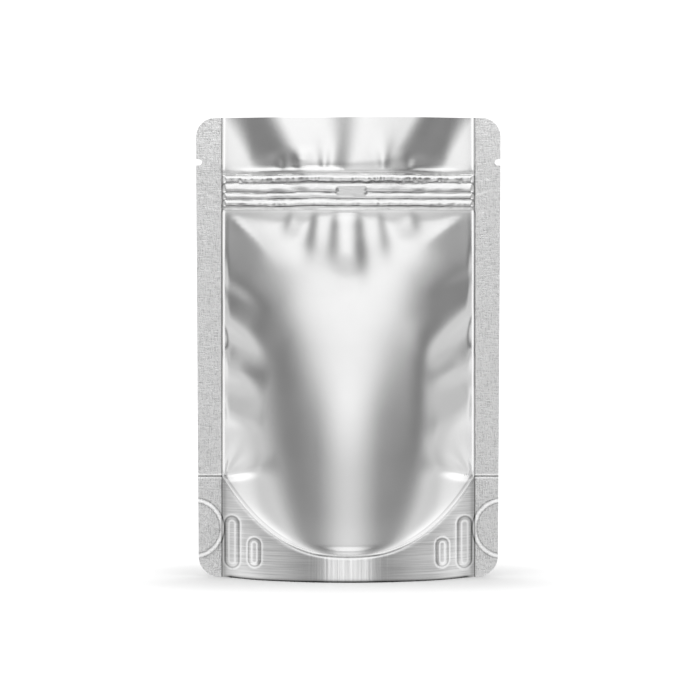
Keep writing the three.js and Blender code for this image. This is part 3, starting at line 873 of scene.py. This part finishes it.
def knurl(nodes, place):
    """Crossed and speckled fine lines pressed into the seals."""
    lines, speckles = KNURL_SHARES
    upright = nodes.noise(place, KNURL_UPRIGHT, 1.0)
    level = nodes.noise(place, KNURL_LEVEL, 1.0)
    speckle = nodes.noise(place, KNURL_SPECKLE, 1.0)
    crossed = nodes.times(nodes.plus(upright, level), lines)
    woven = nodes.plus(crossed, nodes.times(speckle, speckles))
    return nodes.smooth(woven, *KNURL_EDGE), 1.0, 0.46


def brushed(nodes, place):
    """Upright lines in the middle of the skirt and level ones towards its ends."""
    upright = nodes.noise(place, BRUSHED_UPRIGHT)
    level = nodes.noise(place, BRUSHED_LEVEL)
    x, _, _ = nodes.axes(place)
    outward = nodes.smooth(nodes.size(x), *BRUSHED_TURN)
    return nodes.blend(upright, level, outward), 0.5, 0.6


def painted_skirt_sheen(nodes, place):
    """A painted highlight over the middle of the skirt, in upright strokes."""
    x, _, _ = nodes.axes(place)
    middle = nodes.smooth(nodes.size(x), *SHEEN_END, 1.0, 0.0)
    strokes = nodes.smooth(nodes.noise(place, SHEEN_STROKES), *SHEEN_STROKE_TONE)
    return nodes.times(middle, strokes)


BODY, SEAL, SKIRT, ZIP = range(4)  # the order of the materials
SEAL_FINISH_EDGE = 0.3
SHARP_ANGLE = 48.0


def paint(piece):
    """Gives each face of the pouch the finish of its zone."""
    mesh = piece.data
    centres = np.zeros(len(mesh.polygons) * 3)
    mesh.polygons.foreach_get("center", centres)
    x, _, z = (centres.reshape(-1, 3) / MM).T
    zone = np.full(len(x), BODY)
    zone[(z > ZIP_BOTTOM) & (z < ZIP_TOP)] = ZIP
    zone[z < foot_seal(x)] = SKIRT
    zone[np.abs(x) > SEAL_EDGE + SEAL_FINISH_EDGE] = SEAL
    mesh.polygons.foreach_set("material_index", zone)
    mesh.polygons.foreach_set("use_smooth", np.ones(len(x), bool))
    mesh.set_sharp_from_angle(angle=math.radians(SHARP_ANGLE))


# ---------------------------------------------------------------- the studio
# Sizes and places are in metres.

WORLD_LIGHT = 1.2
DOME_RADIUS = 0.45
DOME_HEIGHT = 0.06
# Brightness by direction, as smooth steps: from and to in degrees, value before and after
FRONT_EDGE = 1.0
FRONT_WIDTH = [(15.5, 18.5, 31.0, 26.5), (19.2, 21.6, 0.0, 1.5), (22.0, 28.0, 0.0, 5.0)]
FRONT_LIGHT = [(19.2, 21.6, 0.0, 0.57), (22.5, 27.0, 0.5, 0.34)]
SIDE_LIGHT = [(33.0, 50.0, 0.0, 0.46), (62.0, 90.0, 0.0, 0.25), (48.0, 57.0, 0.0, -0.09)]
LOW_SIDE_LIGHT = (36.0, 62.0, 0.1, 0.95)
LOW_SIDE_SHARE = (-24.0, -8.0, 1.0, 0.0)
ROOM_LIGHT = 0.17
TOP_START = (20.0, 50.0, 30.0, 46.0)
TOP_EDGE = 14.0
TOP_LIGHT = 1.15
LEVEL_GLOW = (2.0, 14.0, 0.11, 0.0)
UNDER_SHADE = (-72.0, -50.0, 0.12, 1.0)

FLOOR_RADIUS = 3.0
FLOOR_GAP = 0.00005
# Painted shadow: the floor is darker beside the foot of the pouch
FLOOR_TONES = (0.79, 0.93)  # beside the foot of the pouch and further off
FOOT_SHADE = (0.05, 0.018)  # half length and half depth of the darker place
FOOT_SHADE_FADE = (0.004, 0.05)

LAMP_PLACE = (0, -0.25, 1.2)
LAMP_TILT = -12.0
LAMP_SIZE = 0.9
LAMP_ENERGY = 0.6

CAMERA_PLACE = (0, -1.0, 0.1)
SENSOR = 36
LENS = 131.14
LENS_SHIFT = (0.00243, -0.0407)


def dome_light(nodes, place):
    """Brightness of the studio round the pouch, by direction: a lit front, dim corners, lit
    sides and a bright top. The same behind the pouch as before it."""
    x, y, z = nodes.axes(place)
    azimuth = nodes.math("DEGREES", nodes.math("ARCTAN2", nodes.size(x), nodes.size(y)))
    sine = nodes.math("DIVIDE", z, DOME_RADIUS)
    elevation = nodes.math("DEGREES", nodes.math("ARCSINE", sine))

    front_end = nodes.steps(elevation, FRONT_WIDTH)
    front = nodes.smooth(azimuth, FRONT_EDGE, front_end, 1.0, 0.0)
    front = nodes.times(front, nodes.steps(elevation, FRONT_LIGHT))
    side = nodes.steps(azimuth, SIDE_LIGHT)
    low_side = nodes.smooth(azimuth, *LOW_SIDE_LIGHT)
    side = nodes.blend(side, low_side, nodes.smooth(elevation, *LOW_SIDE_SHARE))
    room = nodes.plus(nodes.plus(front, side), ROOM_LIGHT)

    over = nodes.minus(elevation, nodes.smooth(azimuth, *TOP_START))
    lit = nodes.blend(room, TOP_LIGHT, nodes.smooth(over, 0.0, TOP_EDGE))
    lit = nodes.plus(lit, nodes.smooth(elevation, *LEVEL_GLOW))
    return nodes.times(lit, nodes.smooth(elevation, *UNDER_SHADE))


def white_world():
    world = bpy.data.worlds.new("studio")
    world.use_nodes = True
    background = world.node_tree.nodes["Background"]
    background.inputs["Color"].default_value = (1, 1, 1, 1)
    background.inputs["Strength"].default_value = WORLD_LIGHT
    bpy.context.scene.world = world


def studio_dome():
    """The walls and lights of the studio, seen only in the foil."""
    place = (0, 0, DOME_HEIGHT)
    bpy.ops.mesh.primitive_uv_sphere_add(
        segments=96, ring_count=64, radius=DOME_RADIUS, location=place
    )
    dome = bpy.context.object
    dome.name = "studio_dome"
    bpy.ops.object.shade_smooth()
    material = bpy.data.materials.new("studio_dome")
    material.use_nodes = True
    tree = material.node_tree
    tree.nodes.clear()
    nodes = Nodes(tree)
    light = nodes.add("ShaderNodeEmission")
    nodes.feed(light.inputs["Strength"], dome_light(nodes, nodes.place()))
    out = nodes.add("ShaderNodeOutputMaterial")
    nodes.feed(out.inputs["Surface"], light.outputs[0])
    material.cycles.emission_sampling = "NONE"
    dome.data.materials.append(material)
    dome.visible_camera = False
    dome.visible_diffuse = False
    dome.visible_shadow = False
    dome.visible_transmission = False
    dome.visible_volume_scatter = False
    return dome


def studio_floor():
    """A dull pale floor with a painted shadow: a little darker beside the foot of the pouch."""
    bpy.ops.mesh.primitive_circle_add(
        vertices=96, radius=FLOOR_RADIUS, fill_type="NGON", location=(0, 0, -FLOOR_GAP)
    )
    floor = bpy.context.object
    floor.name = "floor"
    material = bpy.data.materials.new("floor")
    material.use_nodes = True
    nodes = Nodes(material.node_tree)
    shader = material.node_tree.nodes["Principled BSDF"]
    x, y, _ = nodes.axes(nodes.place())
    beside = nodes.math("MAXIMUM", nodes.minus(nodes.size(x), FOOT_SHADE[0]), 0.0)
    before = nodes.math("MAXIMUM", nodes.minus(nodes.size(y), FOOT_SHADE[1]), 0.0)
    tone = nodes.smooth(nodes.length(beside, before), *FOOT_SHADE_FADE, *FLOOR_TONES)
    nodes.feed(shader.inputs["Base Color"], nodes.grey(tone))
    shader.inputs["Roughness"].default_value = 1.0
    shader.inputs["Specular IOR Level"].default_value = 0.0
    floor.data.materials.append(material)
    floor.visible_glossy = False
    return floor


def overhead_lamp():
    bpy.ops.object.light_add(type="AREA", location=LAMP_PLACE)
    lamp = bpy.context.object
    lamp.name = "overhead"
    lamp.data.shape = "SQUARE"
    lamp.data.size = LAMP_SIZE
    lamp.data.energy = LAMP_ENERGY
    lamp.rotation_euler = (math.radians(LAMP_TILT), 0, 0)
    lamp.visible_glossy = False
    return lamp


def camera():
    """One metre before the pouch and level, at 100 mm over the floor."""
    bpy.ops.object.camera_add(location=CAMERA_PLACE, rotation=(math.pi / 2, 0, 0))
    eye = bpy.context.object
    eye.data.sensor_width = SENSOR
    eye.data.lens = LENS
    eye.data.shift_x, eye.data.shift_y = LENS_SHIFT
    eye.data.dof.use_dof = False
    bpy.context.scene.camera = eye


# ---------------------------------------------------------------- the scene

pouch = bpy.data.objects.new("pouch_foil", pouch_mesh())
bpy.context.scene.collection.objects.link(pouch)
for made in (
    foil_material("foil_body", 0.9, 0.22, plain_grain),
    foil_material("foil_seal", 0.95, 0.4, knurl),
    foil_material("foil_skirt", 0.74, 0.34, brushed, painted_skirt_sheen),
    foil_material("foil_zip", 0.84, 0.2, zip_grain),
):
    pouch.data.materials.append(made)
paint(pouch)
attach(pouch, "root")
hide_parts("pouch")

bpy.context.scene.view_settings.view_transform = "Standard"
white_world()
dome = studio_dome()
floor = studio_floor()
lamp = overhead_lamp()
camera()
